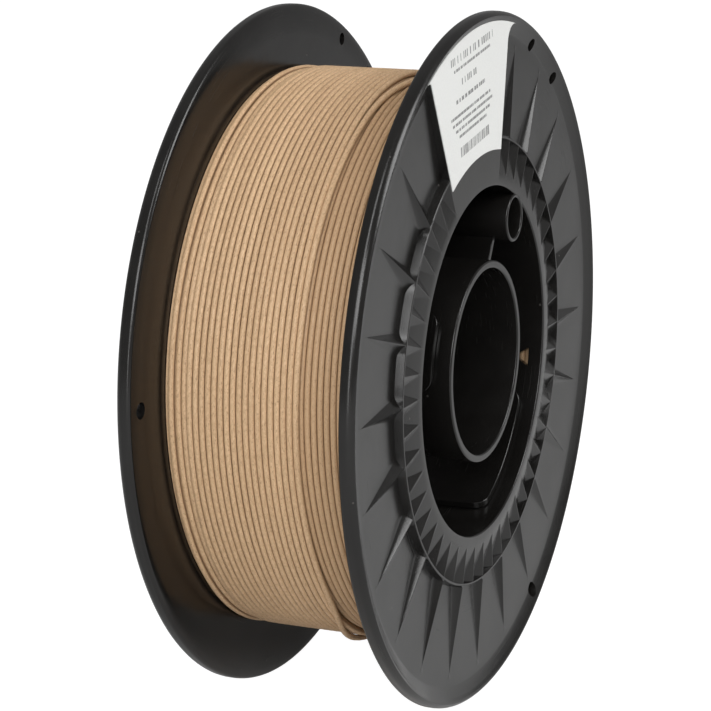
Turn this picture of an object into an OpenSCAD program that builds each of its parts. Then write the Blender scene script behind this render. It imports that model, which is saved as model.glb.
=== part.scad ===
// Filament spool: two halves from one mould, plugged together at mid-width, with filament wound between them.
// The axis lies along Y and the label side faces -Y. The origin is the centre of the bore at mid-width.
// Angles on a flange are read from +Z towards +X.

/* [Spool] */
// Diameter of both flanges
flange_d = 200; // [190:1:240]
// Width over both rims
spool_w = 67.6; // [60:0.2:90]

/* [Flange] */
// Thickness of the rim along the axis
rim_t = 5; // [4.4:0.1:6]
// Width of the band on the rim's front
rim_band = 2.4; // [2.2:0.1:4]
// Radius of the rim's outer front edge
rim_round = 1.2; // [0.4:0.1:1.6]
// How far the rim's outside leans in by its front
rim_draft = 0.1; // [0.05:0.05:0.3]
// Radial reach of the hollow fillet inside the rim
rim_fillet = 4; // [2:0.5:6]
// Thickness of the flange plate
plate_t = 2.1; // [1.6:0.1:2.6]
// Width of the lip's slope, next to the filament
lip_w = 3; // [1:0.5:4]
// Height of the lip's slope
lip_drop = 0.8; // [0.2:0.1:1.2]

/* [Hub] */
// Diameter of the centre bore
bore_d = 54; // [50:0.5:56]
// Wall of the bore tube
bore_wall = 2.2; // [1.6:0.1:3]
// Outer diameter of the barrel that the filament is wound on
barrel_d = 106.4; // [104:0.2:112]
// Wall of the barrel
barrel_wall = 2.6; // [2:0.1:3.2]
// Width of the collar round the hub's opening
collar_w = 3.4; // [2.8:0.1:4.5]
// Depth of the hub's front edges below the rim
hub_drop = 0.6; // [0.3:0.1:1]
// Radius on the hub's front edges
hub_round = 0.5; // [0.2:0.1:0.8]
// Thickness of each half's web at mid-width
web_t = 1.8; // [1.2:0.1:3]

/* [Face pattern] */
// Diameter of the ring of pockets, at its foot
ring_d = 130.6; // [126:0.2:140]
// How far the ring's outside leans in by its top
ring_draft = 0.5; // [0.2:0.1:1]
// Wall left outside the pockets
ring_wall = 0.6; // [0.5:0.1:1.6]
// Number of ridges in a whole circle
ridge_count = 24; // [16:4:32]
// Width of a ridge at the ring
ridge_w = 5.8; // [3:0.2:7]
// Length of a ridge
ridge_l = 25; // [12:1:26]
// Depth of a ridge's crest below the ring
ridge_drop = 0.1; // [0.05:0.05:0.5]
// Flat left on a fin between two pockets
crest_w = 0.4; // [0.2:0.1:0.8]
// Height of plate left under a pocket, above the flange's face
pocket_floor = 0.1; // [0.1:0.1:1]

/* [Label] */
// Side of the label pad left of the top, in degrees
pad_from = -29.6; // [-40:0.1:-20]
// Side of the label pad right of the top, in degrees
pad_to = 8.2; // [0:0.1:12]
// Radius where the pad's sides run into the rim
pad_flare = 3.5; // [2:0.5:6]
// Inner diameter of the label
label_in_d = 122; // [118:1:140]
// Margin of pad round the label
label_gap = 0.3; // [0.2:0.1:2]
// Thickness of the label
label_t = 0.2; // [0.1:0.05:0.4]

/* [Driver tube] */
// Bore of the driver tube
driver_d = 11.8; // [8:0.1:13]
// Wall of the driver tube
driver_wall = 1.2; // [1:0.1:2]
// Distance from the spool's axis to the driver tube's
driver_r = 44.6; // [44:0.1:45.4]
// Place of the driver tube round the flange, in degrees
driver_at = 30; // [15:15:45]
// Thickness of the rib between driver tube and bore tube
rib_t = 1.8; // [1.2:0.1:3]
// Depth of the rib's edge below the hub's front
rib_drop = 5.2; // [3:0.1:10]

/* [Tongues] */
// Middle of the barrel's tongue, in degrees
barrel_tongue_at = -78; // [-84:1:-70]
// Half of the angle that the barrel's tongue spans
barrel_tongue_half = 26; // [16:1:28]
// Middle of the bore tube's tongue, in degrees
bore_tongue_at = 135; // [125:1:145]
// Half of the angle that the bore tube's tongue spans
bore_tongue_half = 21; // [14:1:26]
// Thickness of a tongue
tongue_t = 1.9; // [1.2:0.1:2.4]
// Clearance round a tongue
tongue_gap = 0.3; // [0.2:0.05:0.5]
// Depth of a tongue's tip below the other half's front
tongue_stop = 5; // [3:0.1:10]
// Radius of a tongue's corners
tongue_round = 4; // [1:0.5:6]
// Length of a tongue's root inside its own half
tongue_root = 5; // [3:0.5:10]

/* [Holes] */
// Diameter of the holes that hold the filament's end
end_hole_d = 4.6; // [2.5:0.1:5]
// Distance from the flange's edge to those holes
end_hole_inset = 5; // [4.8:0.1:9]
// Place of the single hole, in degrees
end_hole_at = 150; // [90:5:165]
// Angle from the driver tube to each hole of the pair
end_hole_side = 7.5; // [5:0.5:12]
// Place of the notch for the filament's start, in degrees
notch_at = 100; // [90:1:103]
// Width of the notch at the flange
notch_w = 4.9; // [2:0.1:6]
// Reach of the notch into the barrel
notch_l = 4; // [2:0.5:8]

/* [Filament] */
// Diameter of the filament
strand_d = 1.75; // [1.5:0.05:1.9]
// Diameter over the outer layer
winding_d = 165; // [130:1:180]
// Loops in the outer layer
loops = 23; // [12:1:23]
// Of those, loops that lie one layer lower at the label side
low_loops = 7; // [2:1:10]
// Drop from the outer layer to the layer under it
layer_step = 1.6; // [1.4:0.1:2]
// Clearance between the wound filament and what holds it
seat_gap = 0.2; // [0.1:0.05:0.3]

/* [Hidden] */
$fn = 96;
eps = 0.2; // overlap of solids that are joined
arc_steps = 6;

// heights in one half: its own frame has the parting plane at z = 0 and its rim's front at z = rim_z
flange_r = flange_d / 2;
rim_z = spool_w / 2;
inner_z = rim_z - rim_t;
plate_z = inner_z + plate_t;
hub_z = rim_z - hub_drop;
tongue_l = hub_z - tongue_stop;

// radii
bore_r = bore_d / 2;
bore_out_r = bore_r + bore_wall;
barrel_out_r = barrel_d / 2;
barrel_r = barrel_out_r - barrel_wall;
collar_r = barrel_r + collar_w;
ring_r = ring_d / 2;
ring_top_r = ring_r - ring_draft;
band_r = flange_r - rim_band;
driver_out_r = driver_d / 2 + driver_wall;

// pattern
ridge_step = 360 / ridge_count;
pocket_step = ridge_step / 2;
pocket_half = pocket_step / 2;
ridge_half = asin(ridge_w / 2 / ring_r);
pad_r = band_r + eps;
label_r = band_r - label_gap;
label_in_r = label_in_d / 2;

// the wound filament, in a frame with z from the plain side's flange to the label side's
loop_steps = 24;
loop_step = 360 / loop_steps;
strand_r = strand_d / 2;
bend_r = 0.9 * strand_d;
winding_r = winding_d / (1 + cos(loop_step / 2)) - strand_r;
first_z = inner_z - strand_d - bend_r;
pitch = 2 * first_z / loops;
step_z = first_z - (low_loops + 0.25) * pitch;
winding_from = 150;
wound_drop = winding_r * (1 - cos(loop_step / 2)) + strand_r + seat_gap;

function polar(r, a) = [r * sin(a), r * cos(a)];

// Outline of a flange sector from angle a to b, with its outer corners flared into the circle of radius r_out.
function sector_outline(r_in, r_out, a, b, flare) =
    let (swing = asin(flare / (r_out - flare)),
         steps = 24)
    concat(
        [for (i = [0 : steps]) polar(r_in, a + (b - a) * i / steps)],
        [for (i = [0 : arc_steps])
            polar(r_out - flare, b + swing) + polar(flare, b - 90 + (90 + swing) * i / arc_steps)],
        [for (i = [1 : steps - 1]) polar(r_out, b + swing - (b - a + 2 * swing) * i / steps)],
        [for (i = [0 : arc_steps])
            polar(r_out - flare, a - swing) + polar(flare, a - swing + (90 + swing) * i / arc_steps)]);

// Plain wedge of a circle, for cutting sectors out of rings.
function wedge_outline(r, a, half) =
    concat([[0, 0]], [for (i = [-4 : 4]) polar(r / cos(half / 4), a + half * i / 4)]);

// Flange, rim and barrel: the section that is turned round the axis.
function rim_outline() =
    concat(
        [[barrel_r, 0], [barrel_out_r, 0], [barrel_out_r, inner_z],
         [flange_r - lip_w, inner_z], [flange_r, inner_z + lip_drop]],
        [for (i = [0 : arc_steps])
            [flange_r - rim_draft - rim_round, rim_z - rim_round]
                + rim_round * [cos(90 * i / arc_steps), sin(90 * i / arc_steps)]],
        [for (i = [0 : arc_steps])
            [band_r - rim_fillet * (1 - cos(90 * i / arc_steps)), rim_z - (rim_z - plate_z) * sin(90 * i / arc_steps)]],
        [[ring_r, plate_z], [ring_top_r, hub_z]],
        [for (i = [0 : 3])
            [barrel_r + hub_round, hub_z - hub_round] + hub_round * [-sin(30 * i), cos(30 * i)]]);

function bore_tube_outline() =
    concat(
        [[bore_r, 0], [bore_out_r, 0]],
        [for (i = [0 : 3]) [bore_out_r - hub_round, hub_z - hub_round] + hub_round * [cos(30 * i), sin(30 * i)]],
        [for (i = [0 : 3]) [bore_r + hub_round, hub_z - hub_round] + hub_round * [-sin(30 * i), cos(30 * i)]]);

module tube(r_out, r_in, z_from, z_to) {
    translate([0, 0, z_from]) difference() {
        cylinder(r = r_out, h = z_to - z_from);
        translate([0, 0, -1]) cylinder(r = r_in, h = z_to - z_from + 2);
    }
}

// A cutter between two fins: its floor rises from the ring's wall to the collar.
module pocket(at) {
    r_far = ring_top_r - ring_wall;
    depth = hub_z - plate_z - pocket_floor;
    low = [0, r_far * cos(pocket_half), hub_z - depth];
    top = [
        [-r_far * sin(pocket_half) + crest_w / 2, low.y, hub_z],
        [r_far * sin(pocket_half) - crest_w / 2, low.y, hub_z],
        [collar_r * sin(pocket_half) - crest_w / 2, collar_r * cos(pocket_half), hub_z],
        [-collar_r * sin(pocket_half) + crest_w / 2, collar_r * cos(pocket_half), hub_z]];
    rotate([0, 0, -at])
        polyhedron(
            points = concat([low], [for (p = top) low + 1.4 * (p - low)]),
            faces = [[1, 2, 3, 4], [0, 2, 1], [0, 3, 2], [0, 4, 3], [0, 1, 4]]);
}

// A ridge runs out from the ring and sinks into the plate at its tip.
module ridge(at) {
    r_near = ring_top_r - ring_wall / 2;
    crest = [0, r_near, hub_z - ridge_drop];
    base = [
        [-ridge_w / 2, r_near, plate_z],
        [ridge_w / 2, r_near, plate_z],
        [0, ring_r + ridge_l, plate_z]];
    rotate([0, 0, -at])
        polyhedron(
            points = concat([crest], [for (p = base) crest + 1.15 * (p - crest)]),
            faces = [[0, 2, 1], [1, 2, 3], [2, 0, 3], [0, 1, 3]]);
}

module pad() {
    translate([0, 0, plate_z - eps]) linear_extrude(hub_z - plate_z + eps)
        polygon(sector_outline(collar_r - eps, pad_r, pad_from, pad_to, pad_flare));
}

// Upright strip, rounded at the lower corners.
function tongue_outline(w, h) =
    concat(
        [[w / 2, h], [-w / 2, h]],
        [for (i = [0 : arc_steps])
            [tongue_round - w / 2, tongue_round] - polar(tongue_round, 90 * (1 - i / arc_steps))],
        [for (i = [0 : arc_steps])
            [w / 2 - tongue_round, tongue_round] - polar(tongue_round, -90 * i / arc_steps)]);

// Part of a ring, cut to a tongue with rounded corners at its lower end.
module tongue(at, half, r_in, r_out, z_tip, z_root) {
    w = (r_in + r_out) * sin(half);
    intersection() {
        tube(r_out, r_in, z_tip, z_root);
        rotate([0, 0, -at]) translate([0, r_out + 1, z_tip]) rotate([90, 0, 0])
            linear_extrude(r_out) polygon(tongue_outline(w, z_root - z_tip + 1));
    }
}

// The slot in a web that the other half's tongue passes through.
module tongue_slot(at, half, r_in, r_out) {
    intersection() {
        tube(r_out, r_in, -1, web_t + 1);
        translate([0, 0, -2]) linear_extrude(web_t + 4) polygon(wedge_outline(r_out, at, half));
    }
}

// A tongue's place as the other half sees it.
function across(at) = 2 * driver_at - at;

module web() {
    gap_angle = 1.2;
    difference() {
        tube(barrel_r + eps, bore_out_r - eps, 0, web_t);
        tongue_slot(across(barrel_tongue_at), barrel_tongue_half + gap_angle,
                    barrel_r - tongue_t - 2 * tongue_gap, barrel_r);
        tongue_slot(across(bore_tongue_at), bore_tongue_half + 2 * gap_angle,
                    bore_out_r, bore_out_r + tongue_t + 2 * tongue_gap);
    }
}

module tongues() {
    barrel_tongue_r = barrel_r - tongue_gap;
    bore_tongue_r = bore_out_r + tongue_gap;
    tongue(barrel_tongue_at, barrel_tongue_half, barrel_tongue_r - tongue_t, barrel_tongue_r, -tongue_l, eps);
    tube_sector(barrel_tongue_at, barrel_tongue_half, barrel_tongue_r - tongue_t, barrel_r + eps);
    tongue(bore_tongue_at, bore_tongue_half, bore_tongue_r, bore_tongue_r + tongue_t, -tongue_l, eps);
    tube_sector(bore_tongue_at, bore_tongue_half, bore_out_r - eps, bore_tongue_r + tongue_t);
}

module tube_sector(at, half, r_in, r_out) {
    intersection() {
        tube(r_out, r_in, 0, tongue_root);
        translate([0, 0, -1]) linear_extrude(tongue_root + 2) polygon(wedge_outline(r_out, at, half));
    }
}

module driver_tube() {
    rotate([0, 0, -driver_at]) {
        translate([0, driver_r, 0]) cylinder(r = driver_out_r, h = hub_z);
        translate([-rib_t / 2, bore_out_r - eps, 0])
            cube([rib_t, driver_r - driver_out_r - bore_out_r + 3 * eps, hub_z - rib_drop]);
    }
}

module end_holes() {
    places = [end_hole_at, driver_at - end_hole_side, driver_at + end_hole_side];
    for (at = places) rotate([0, 0, -at])
        translate([0, flange_r - end_hole_inset, inner_z - 1]) cylinder(d = end_hole_d, h = rim_t + 2);
}

module notch() {
    rotate([0, 0, -notch_at]) translate([0, barrel_out_r + 1, 0]) rotate([90, 0, 0])
        linear_extrude(barrel_wall + 2)
            polygon([[-notch_w / 2, inner_z], [notch_w / 2, inner_z], [0, inner_z - notch_l]]);
}

// One moulding: flange, barrel, bore tube, driver tube, web and the two tongues that plug into the other half.
module half() {
    difference() {
        union() {
            difference() {
                rotate_extrude() polygon(rim_outline());
                for (i = [0 : 2 * ridge_count - 1]) pocket(pocket_step * (i + 0.5));
            }
            for (i = [0 : ridge_count - 1])
                let (at = ridge_step * i, signed = at > 180 ? at - 360 : at)
                    if (signed + ridge_half < pad_from || signed - ridge_half > pad_to) ridge(at);
            pad();
            rotate_extrude() polygon(bore_tube_outline());
            web();
            tongues();
            driver_tube();
        }
        rotate([0, 0, -driver_at]) translate([0, driver_r, -1]) cylinder(d = driver_d, h = rim_z + 1);
        end_holes();
        notch();
    }
}

module label_side_half() {
    color("dimgray") rotate([90, 0, 0]) half();
}

// The same moulding, turned half round the line through both driver tubes.
module plain_side_half() {
    color("dimgray") rotate(a = 180, v = [sin(driver_at), 0, cos(driver_at)]) rotate([90, 0, 0]) half();
}

// The layers that don't show, with a step where the outer layer ends.
module filament_inner_layers() {
    end_z = inner_z - seat_gap;
    in_r = barrel_out_r + seat_gap;
    high_r = winding_r - wound_drop;
    low_r = high_r - layer_step;
    color("tan") rotate([90, 0, 0]) rotate_extrude()
        polygon([[in_r, -end_z], [high_r, -end_z], [high_r, step_z - strand_d], [low_r, step_z],
                 [low_r, end_z], [in_r, end_z]]);
}

// How far the strand has climbed, from 0 in the lower layer to 1 in the outer one, after t loops.
function climb(t) = min(1, max(0, 2 * (t - low_loops)));

function wound_point(r, a, z) = [r * sin(a), r * cos(a), z];

// One loop after another from the label side's flange to the plain side's.
function loop_point(i) =
    let (t = i / loop_steps)
    wound_point(winding_r - layer_step * (1 - climb(t)), winding_from - loop_step * i, first_z - pitch * t);

// At both ends the strand bends until it stands square on the flange.
function end_points(r, a, z, side) =
    let (turn = bend_r / r * 180 / PI)
    [wound_point(r, a + side * turn, z + side * (bend_r + strand_d)),
     wound_point(r, a + side * turn, z + side * bend_r),
     wound_point(r, a + side * turn * (1 - 1 / sqrt(2) + 0.1), z + side * bend_r * (1 - 1 / sqrt(2)))];

function reversed(list) = [for (i = [len(list) - 1 : -1 : 0]) list[i]];

strand_path = concat(
    end_points(winding_r - layer_step, winding_from, first_z, 1),
    [for (i = [0 : loops * loop_steps]) loop_point(i)],
    reversed(end_points(winding_r, winding_from, -first_z, -1)));

function unit(v) = v / norm(v);

// Six points round the strand, two of them on the line from the spool's axis.
function strand_ring(path, i) =
    let (p = path[i],
         ahead = path[min(i + 1, len(path) - 1)],
         behind = path[max(i - 1, 0)],
         along = unit(ahead - behind),
         out = [p.x, p.y, 0],
         side = unit(cross(along, out)),
         up = cross(side, along))
    [for (k = [0 : 5]) p + strand_r * (cos(60 * k) * up + sin(60 * k) * side)];

module strand(path) {
    n = len(path);
    polyhedron(
        points = [for (i = [0 : n - 1]) each strand_ring(path, i)],
        faces = concat(
            [for (k = [1 : 4]) [0, k + 1, k]],
            [for (i = [0 : n - 2], k = [0 : 5])
                let (a = 6 * i + k, b = 6 * i + (k + 1) % 6)
                each [[a, b, b + 6], [a, b + 6, a + 6]]],
            [for (k = [1 : 4]) [6 * (n - 1), 6 * (n - 1) + k, 6 * (n - 1) + k + 1]]));
}

// Least distance between parts of the strand that are over a quarter of a loop apart.
least_gap = min([
    for (i = [0 : len(strand_path) - 1])
        min(concat([1000],
            [for (j = [i + loop_steps / 4 : 1 : min(i + loop_steps * 1.5, len(strand_path) - 1)])
                norm(strand_path[i] - strand_path[j])]))]) - strand_d;

module filament_outer_layer() {
    echo(str("least gap of the outer layer to itself, in mm: ", least_gap));
    color("tan") rotate([90, 0, 0]) strand(strand_path);
}

module label() {
    inset = asin(label_gap / label_in_r);
    color("white") rotate([90, 0, 0]) translate([0, 0, hub_z]) linear_extrude(label_t)
        polygon(sector_outline(label_in_r, label_r, pad_from + inset, pad_to - inset, pad_flare));
}

label_side_half();
plain_side_half();
filament_inner_layers();
filament_outer_layer();
label();
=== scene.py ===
import bmesh
import bpy
import math
import random
from mathutils import Matrix, Vector, noise


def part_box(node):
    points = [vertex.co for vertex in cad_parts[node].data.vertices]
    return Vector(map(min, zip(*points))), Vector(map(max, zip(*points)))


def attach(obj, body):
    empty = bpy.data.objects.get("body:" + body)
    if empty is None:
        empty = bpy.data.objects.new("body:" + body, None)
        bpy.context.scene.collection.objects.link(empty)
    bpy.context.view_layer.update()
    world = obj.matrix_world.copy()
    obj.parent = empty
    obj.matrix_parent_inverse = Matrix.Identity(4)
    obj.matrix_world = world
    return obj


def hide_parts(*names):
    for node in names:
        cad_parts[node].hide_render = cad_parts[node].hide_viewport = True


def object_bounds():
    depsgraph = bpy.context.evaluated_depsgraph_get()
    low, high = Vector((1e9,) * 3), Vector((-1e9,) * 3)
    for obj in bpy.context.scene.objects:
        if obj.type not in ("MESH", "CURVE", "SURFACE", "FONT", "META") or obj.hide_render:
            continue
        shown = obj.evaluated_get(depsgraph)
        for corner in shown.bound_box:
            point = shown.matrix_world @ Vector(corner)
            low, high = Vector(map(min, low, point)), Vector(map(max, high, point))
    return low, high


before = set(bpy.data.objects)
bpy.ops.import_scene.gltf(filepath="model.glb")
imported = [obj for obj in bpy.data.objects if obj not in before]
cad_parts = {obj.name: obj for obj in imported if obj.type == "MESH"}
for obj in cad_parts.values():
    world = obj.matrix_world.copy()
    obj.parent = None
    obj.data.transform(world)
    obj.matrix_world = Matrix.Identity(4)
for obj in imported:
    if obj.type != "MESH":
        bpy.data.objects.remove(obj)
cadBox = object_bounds()
scene = bpy.context.scene
mm = 0.001  # pieces are modelled in millimetres and scaled once, when they are placed
touch = 0.01  # places that are closer than this, in millimetres, count as one
weld = 0.001  # doubled points that are closer than this are merged
overshoot = 1.0  # how far a cutter reaches past what it cuts


# helpers

def polar(r, angle, z=0.0):
    # angles are in degrees from the top, clockwise as the labelled side is seen
    return Vector((r * math.sin(math.radians(angle)), r * math.cos(math.radians(angle)), z))


def arc(r, z, radius, fromAngle, toAngle, steps):
    # points of a round corner in a section, as (radius, height)
    turns = [math.radians(fromAngle + (toAngle - fromAngle) * i / steps) for i in range(steps + 1)]
    return [(r + radius * math.cos(t), z + radius * math.sin(t)) for t in turns]


def spinSection(outline, steps, angle=360.0):
    # turns a closed section round the z axis
    bm = bmesh.new()
    verts = [bm.verts.new((0, r, z)) for r, z in outline]
    if angle < 360:
        section = [bm.faces.new(verts)]
    else:
        section = [bm.edges.new(pair) for pair in zip(verts, verts[1:] + verts[:1])]
    bmesh.ops.spin(bm, geom=verts + section, cent=(0, 0, 0), axis=(0, 0, -1),
                   angle=math.radians(angle), steps=steps, use_merge=angle == 360)
    bmesh.ops.recalc_face_normals(bm, faces=bm.faces)
    return bm


def turned(bm, angle, shift=(0, 0, 0)):
    move = Matrix.Rotation(-math.radians(angle), 4, "Z") @ Matrix.Translation(shift)
    bmesh.ops.transform(bm, matrix=move, verts=bm.verts)
    return bm


def raised(bm, move):
    # gives a flat shape its thickness
    made = bmesh.ops.extrude_face_region(bm, geom=list(bm.faces))["geom"]
    bmesh.ops.translate(bm, vec=move, verts=[v for v in made if isinstance(v, bmesh.types.BMVert)])
    bmesh.ops.recalc_face_normals(bm, faces=bm.faces)
    return bm


def softened(bm, width, edges=None):
    bmesh.ops.bevel(bm, geom=edges or list(bm.edges), offset=width, offset_type="OFFSET", segments=3,
                    profile=0.5, affect="EDGES", clamp_overlap=True, material=-1)
    return bm


def block(size, middle):
    bm = bmesh.new()
    bmesh.ops.create_cube(bm, size=1, matrix=Matrix.Translation(middle) @ Matrix.Diagonal((*size, 1)))
    return bm


def rise(value, low, high):
    # a smooth step from 0 to 1
    share = min(1.0, max(0.0, (value - low) / (high - low)))
    return share * share * (3 - 2 * share)


def toMesh(bm, name):
    mesh = bpy.data.meshes.new(name)
    bm.to_mesh(mesh)
    bm.free()
    return mesh


def addTo(bm, *others):
    for other in others:
        mesh = toMesh(other, "joined")
        bm.from_mesh(mesh)
        bpy.data.meshes.remove(mesh)
    return bm


def cutBy(bm, cutter):
    # takes the cutter's closed solids out of bm
    body = bpy.data.objects.new("body", toMesh(bm, "body"))
    tool = bpy.data.objects.new("tool", toMesh(cutter, "tool"))
    for part in (body, tool):
        scene.collection.objects.link(part)
    boolean = body.modifiers.new("cut", "BOOLEAN")
    boolean.operation = "DIFFERENCE"
    boolean.solver = "EXACT"
    boolean.object = tool
    cut = bpy.data.meshes.new_from_object(body.evaluated_get(bpy.context.evaluated_depsgraph_get()))
    result = bmesh.new()
    result.from_mesh(cut)
    bpy.data.meshes.remove(cut)
    for part in (body, tool):
        bpy.data.meshes.remove(part.data)
    return result


def addPiece(name, mesh, material, replaced=()):
    mesh.name = name
    mesh.materials.clear()
    mesh.materials.append(material)
    piece = bpy.data.objects.new(name, mesh)
    scene.collection.objects.link(piece)
    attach(piece, "root")
    if replaced:
        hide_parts(*replaced)
    print("made", name, len(mesh.polygons), "faces")
    return piece


# camera

view = {
    "azimuth": -67.036,
    "elevation": 12.902,
    "distance": 0.71973,
    "across": -0.00721,  # the aim's offset to the right, and
    "above": -0.00116,  # upwards
    "lens": 124.43,
    "sensor": 36,
    "clipStart": 0.01,
    "spoolTurn": 0.8,  # how far the spool has rolled from its drawn place, in degrees
}


def addCamera():
    azimuth, elevation = math.radians(view["azimuth"]), math.radians(view["elevation"])
    outward = Vector((math.sin(azimuth) * math.cos(elevation),
                      -math.cos(azimuth) * math.cos(elevation),
                      math.sin(elevation)))
    right = (-outward).cross(Vector((0, 0, 1))).normalized()
    up = right.cross(-outward)
    place = outward * view["distance"] + right * view["across"] + up * view["above"]
    camera = bpy.data.objects.new("camera", bpy.data.cameras.new("camera"))
    scene.collection.objects.link(camera)
    camera.data.lens = view["lens"]
    camera.data.sensor_width = view["sensor"]
    camera.data.clip_start = view["clipStart"]
    aim = Matrix.Translation(place) @ (-outward).to_track_quat("-Z", "Y").to_matrix().to_4x4()
    camera.matrix_world = Matrix.Rotation(-math.radians(view["spoolTurn"]), 4, "Y") @ aim
    scene.camera = camera


addCamera()
print("camera placed")


# floor, backdrop and light

studio = {
    "floorSize": 6.0,
    "floorTone": 0.73,
    "floorRoughness": 0.8,
    "floorGlow": 1.32,  # strength of the plain white
    # how much of the floor's colour is plain white for each kind of ray
    "whiteShare": {"Is Camera Ray": 0.75, "Is Transmission Ray": 0.75, "Is Glossy Ray": 0.04},
    "world": 0.26,  # strength of the even light from all sides
    # lamp: place, width, height, watts; all aim at the spool
    "lamps": {
        "tallKey": ((-1.4, -0.17, 0.88), 0.42, 2.4, 16),
        "nearCamera": ((-1.25, -0.64, 0.7), 0.6, 0.6, 8),
        "front": ((0.3, -1.6, 1.2), 0.9, 1.0, 21),
    },
}


def whitened(material):
    # the floor shows white, and the rest of its colour still carries the spool's shadow
    nodes, links = material.node_tree.nodes, material.node_tree.links
    path = nodes.new("ShaderNodeLightPath")
    total = None
    for ray, share in studio["whiteShare"].items():
        part = nodes.new("ShaderNodeMath")
        part.operation = "MULTIPLY"
        links.new(path.outputs[ray], part.inputs[0])
        part.inputs[1].default_value = share
        if total:
            join = nodes.new("ShaderNodeMath")
            join.operation = "MAXIMUM"
            links.new(total, join.inputs[0])
            links.new(part.outputs[0], join.inputs[1])
            part = join
        total = part.outputs[0]
    white = nodes.new("ShaderNodeEmission")
    white.inputs["Strength"].default_value = studio["floorGlow"]
    mix = nodes.new("ShaderNodeMixShader")
    links.new(total, mix.inputs[0])
    links.new(nodes["Principled BSDF"].outputs[0], mix.inputs[1])
    links.new(white.outputs[0], mix.inputs[2])
    links.new(mix.outputs[0], nodes["Material Output"].inputs["Surface"])


def addStudio():
    bm = bmesh.new()
    bmesh.ops.create_grid(bm, x_segments=1, y_segments=1, size=studio["floorSize"] / 2)
    bmesh.ops.translate(bm, vec=(0, 0, cadBox[0][2]), verts=bm.verts)
    mesh = toMesh(bm, "floor")
    floor = bpy.data.objects.new("floor", mesh)
    scene.collection.objects.link(floor)
    paint = bpy.data.materials.new("floorPaint")
    paint.use_nodes = True
    tone = studio["floorTone"]
    shader = paint.node_tree.nodes["Principled BSDF"]
    shader.inputs["Base Color"].default_value = (tone, tone, tone, 1)
    shader.inputs["Roughness"].default_value = studio["floorRoughness"]
    whitened(paint)
    mesh.materials.append(paint)
    for name, (place, width, height, watts) in studio["lamps"].items():
        lamp = bpy.data.lights.new(name, "AREA")
        lamp.shape = "RECTANGLE"
        lamp.size = width
        lamp.size_y = height
        lamp.energy = watts
        holder = bpy.data.objects.new(name, lamp)
        scene.collection.objects.link(holder)
        aim = (-Vector(place)).to_track_quat("-Z", "Y").to_matrix().to_4x4()
        holder.matrix_world = Matrix.Translation(place) @ aim
    world = bpy.data.worlds.new("studio")
    scene.world = world
    world.use_nodes = True
    background = world.node_tree.nodes["Background"]
    background.inputs["Color"].default_value = (1, 1, 1, 1)
    background.inputs["Strength"].default_value = studio["world"]
    scene.view_settings.view_transform = "Standard"


addStudio()
print("studio lit")


# the moulded half, in its own frame: z runs outwards from the parting plane

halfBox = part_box("label_side_half")
flange = {
    "radius": halfBox[1][0] / mm,
    "rimZ": -halfBox[0][1] / mm,
    "rimT": 5.0,  # from the inner face to the rim's front
    # the rim's front edge, as radius and depth behind the front
    "rimFront": ((100, 2.1), (99.95, 1.6), (99.75, 1.05), (99.4, 0.55),
                 (98.95, 0.14), (98.7, 0), (98.3, 0.1), (97.9, 0.3)),
    "rimBack": {"radius": 1.2, "from": -82, "steps": 6},
    # the slope between the face and the rim: radii, rows, and how much it hollows at its foot
    "filletFrom": 93.8,
    "filletTo": 97.3,
    "filletRows": 11,
    "filletCurve": 1.15,
    "lastRow": 92.0,  # the last row of the plain face
    "innerRows": (60, 68, 76, 84, 91),  # radii of the rows on the inner face
    "plateT": 2.1,  # at the ring
    "dish": 1.0,  # how far the face rises from the ring to the rim's fillet
    "lipW": 3.0,  # the bevel at the back of the rim
    "lipDrop": 0.6,
    "hubDrop": 0.6,  # how far hub and ring stay behind the rim
    "steps": 480,  # columns round the flange, a whole number for each pocket
}
hub = {
    "boreR": 27.0,
    "boreWall": 2.2,
    "barrelR": 50.6,
    "barrelWall": 2.6,
    "barrelRows": (20, 10),  # heights of the rows inside the barrel
    "notchRow": 4.5,  # the row round the barrel by the notch's tip
    "collarR": 54.0,
    "edge": 0.5,
    "edgeSteps": 5,
    "collarSteps": 4,
    "boreSteps": 240,
    "web": 1.8,
    "webSteps": 144,
    "joint": 0.3,  # how far the web runs into the walls
}
ring = {
    "foot": 65.3,
    "top": 64.8,
    "wall": 0.6,
    "edge": 0.12,
    "pockets": 48,
    "floor": 0.1,
    "crest": 0.2,  # bevel on the fins between the pockets
    "crestAngle": 15,  # between the faces of a fin, from which it is bevelled
}
ridge = {
    "count": 24,
    "width": 3.4,  # half of the foot's width at the ring
    "tip": 0.15,  # half of the width that is left at its end
    "length": 25.0,
    "rows": 10,
    "spreadOver": 3.5,  # past its end, the length in which the columns spread out again
    "drop": 0.1,
    # columns from the crest to the foot: share of the half width, and share of the height
    "flank": ((0, 1), (0.07, 0.93), (0.36, 0.44), (0.74, 0.1), (1, 0)),
}
pad = {
    "from": -29.6,  # angles of its sides
    "to": 8.2,
    "flare": {"from": 1.8, "to": 5.5},  # radii where its sides run into the rim
    "overlap": 0.25,  # how far the sides run into the rim
    "draft": 0.1,
}

rimZ = flange["rimZ"]
innerZ = rimZ - flange["rimT"]
faceZ = innerZ + flange["plateT"]
hubZ = rimZ - flange["hubDrop"]
boreOuter = hub["boreR"] + hub["boreWall"]
barrelOuter = hub["barrelR"] + hub["barrelWall"]
ringInside = ring["top"] - ring["wall"]
columnStep = 360 / flange["steps"]
pocketColumns = flange["steps"] // ring["pockets"]
ridgeColumns = flange["steps"] // ridge["count"]
# the columns on the pad's edges, rounded outwards
padColumns = (round(pad["from"] / columnStep - 0.5), round(pad["to"] / columnStep + 0.5))


def onFace(r):
    # height of the plain face, which is a very flat cone
    return faceZ + flange["dish"] * max(0.0, (r - ring["foot"]) / (flange["filletFrom"] - ring["foot"]))


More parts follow.
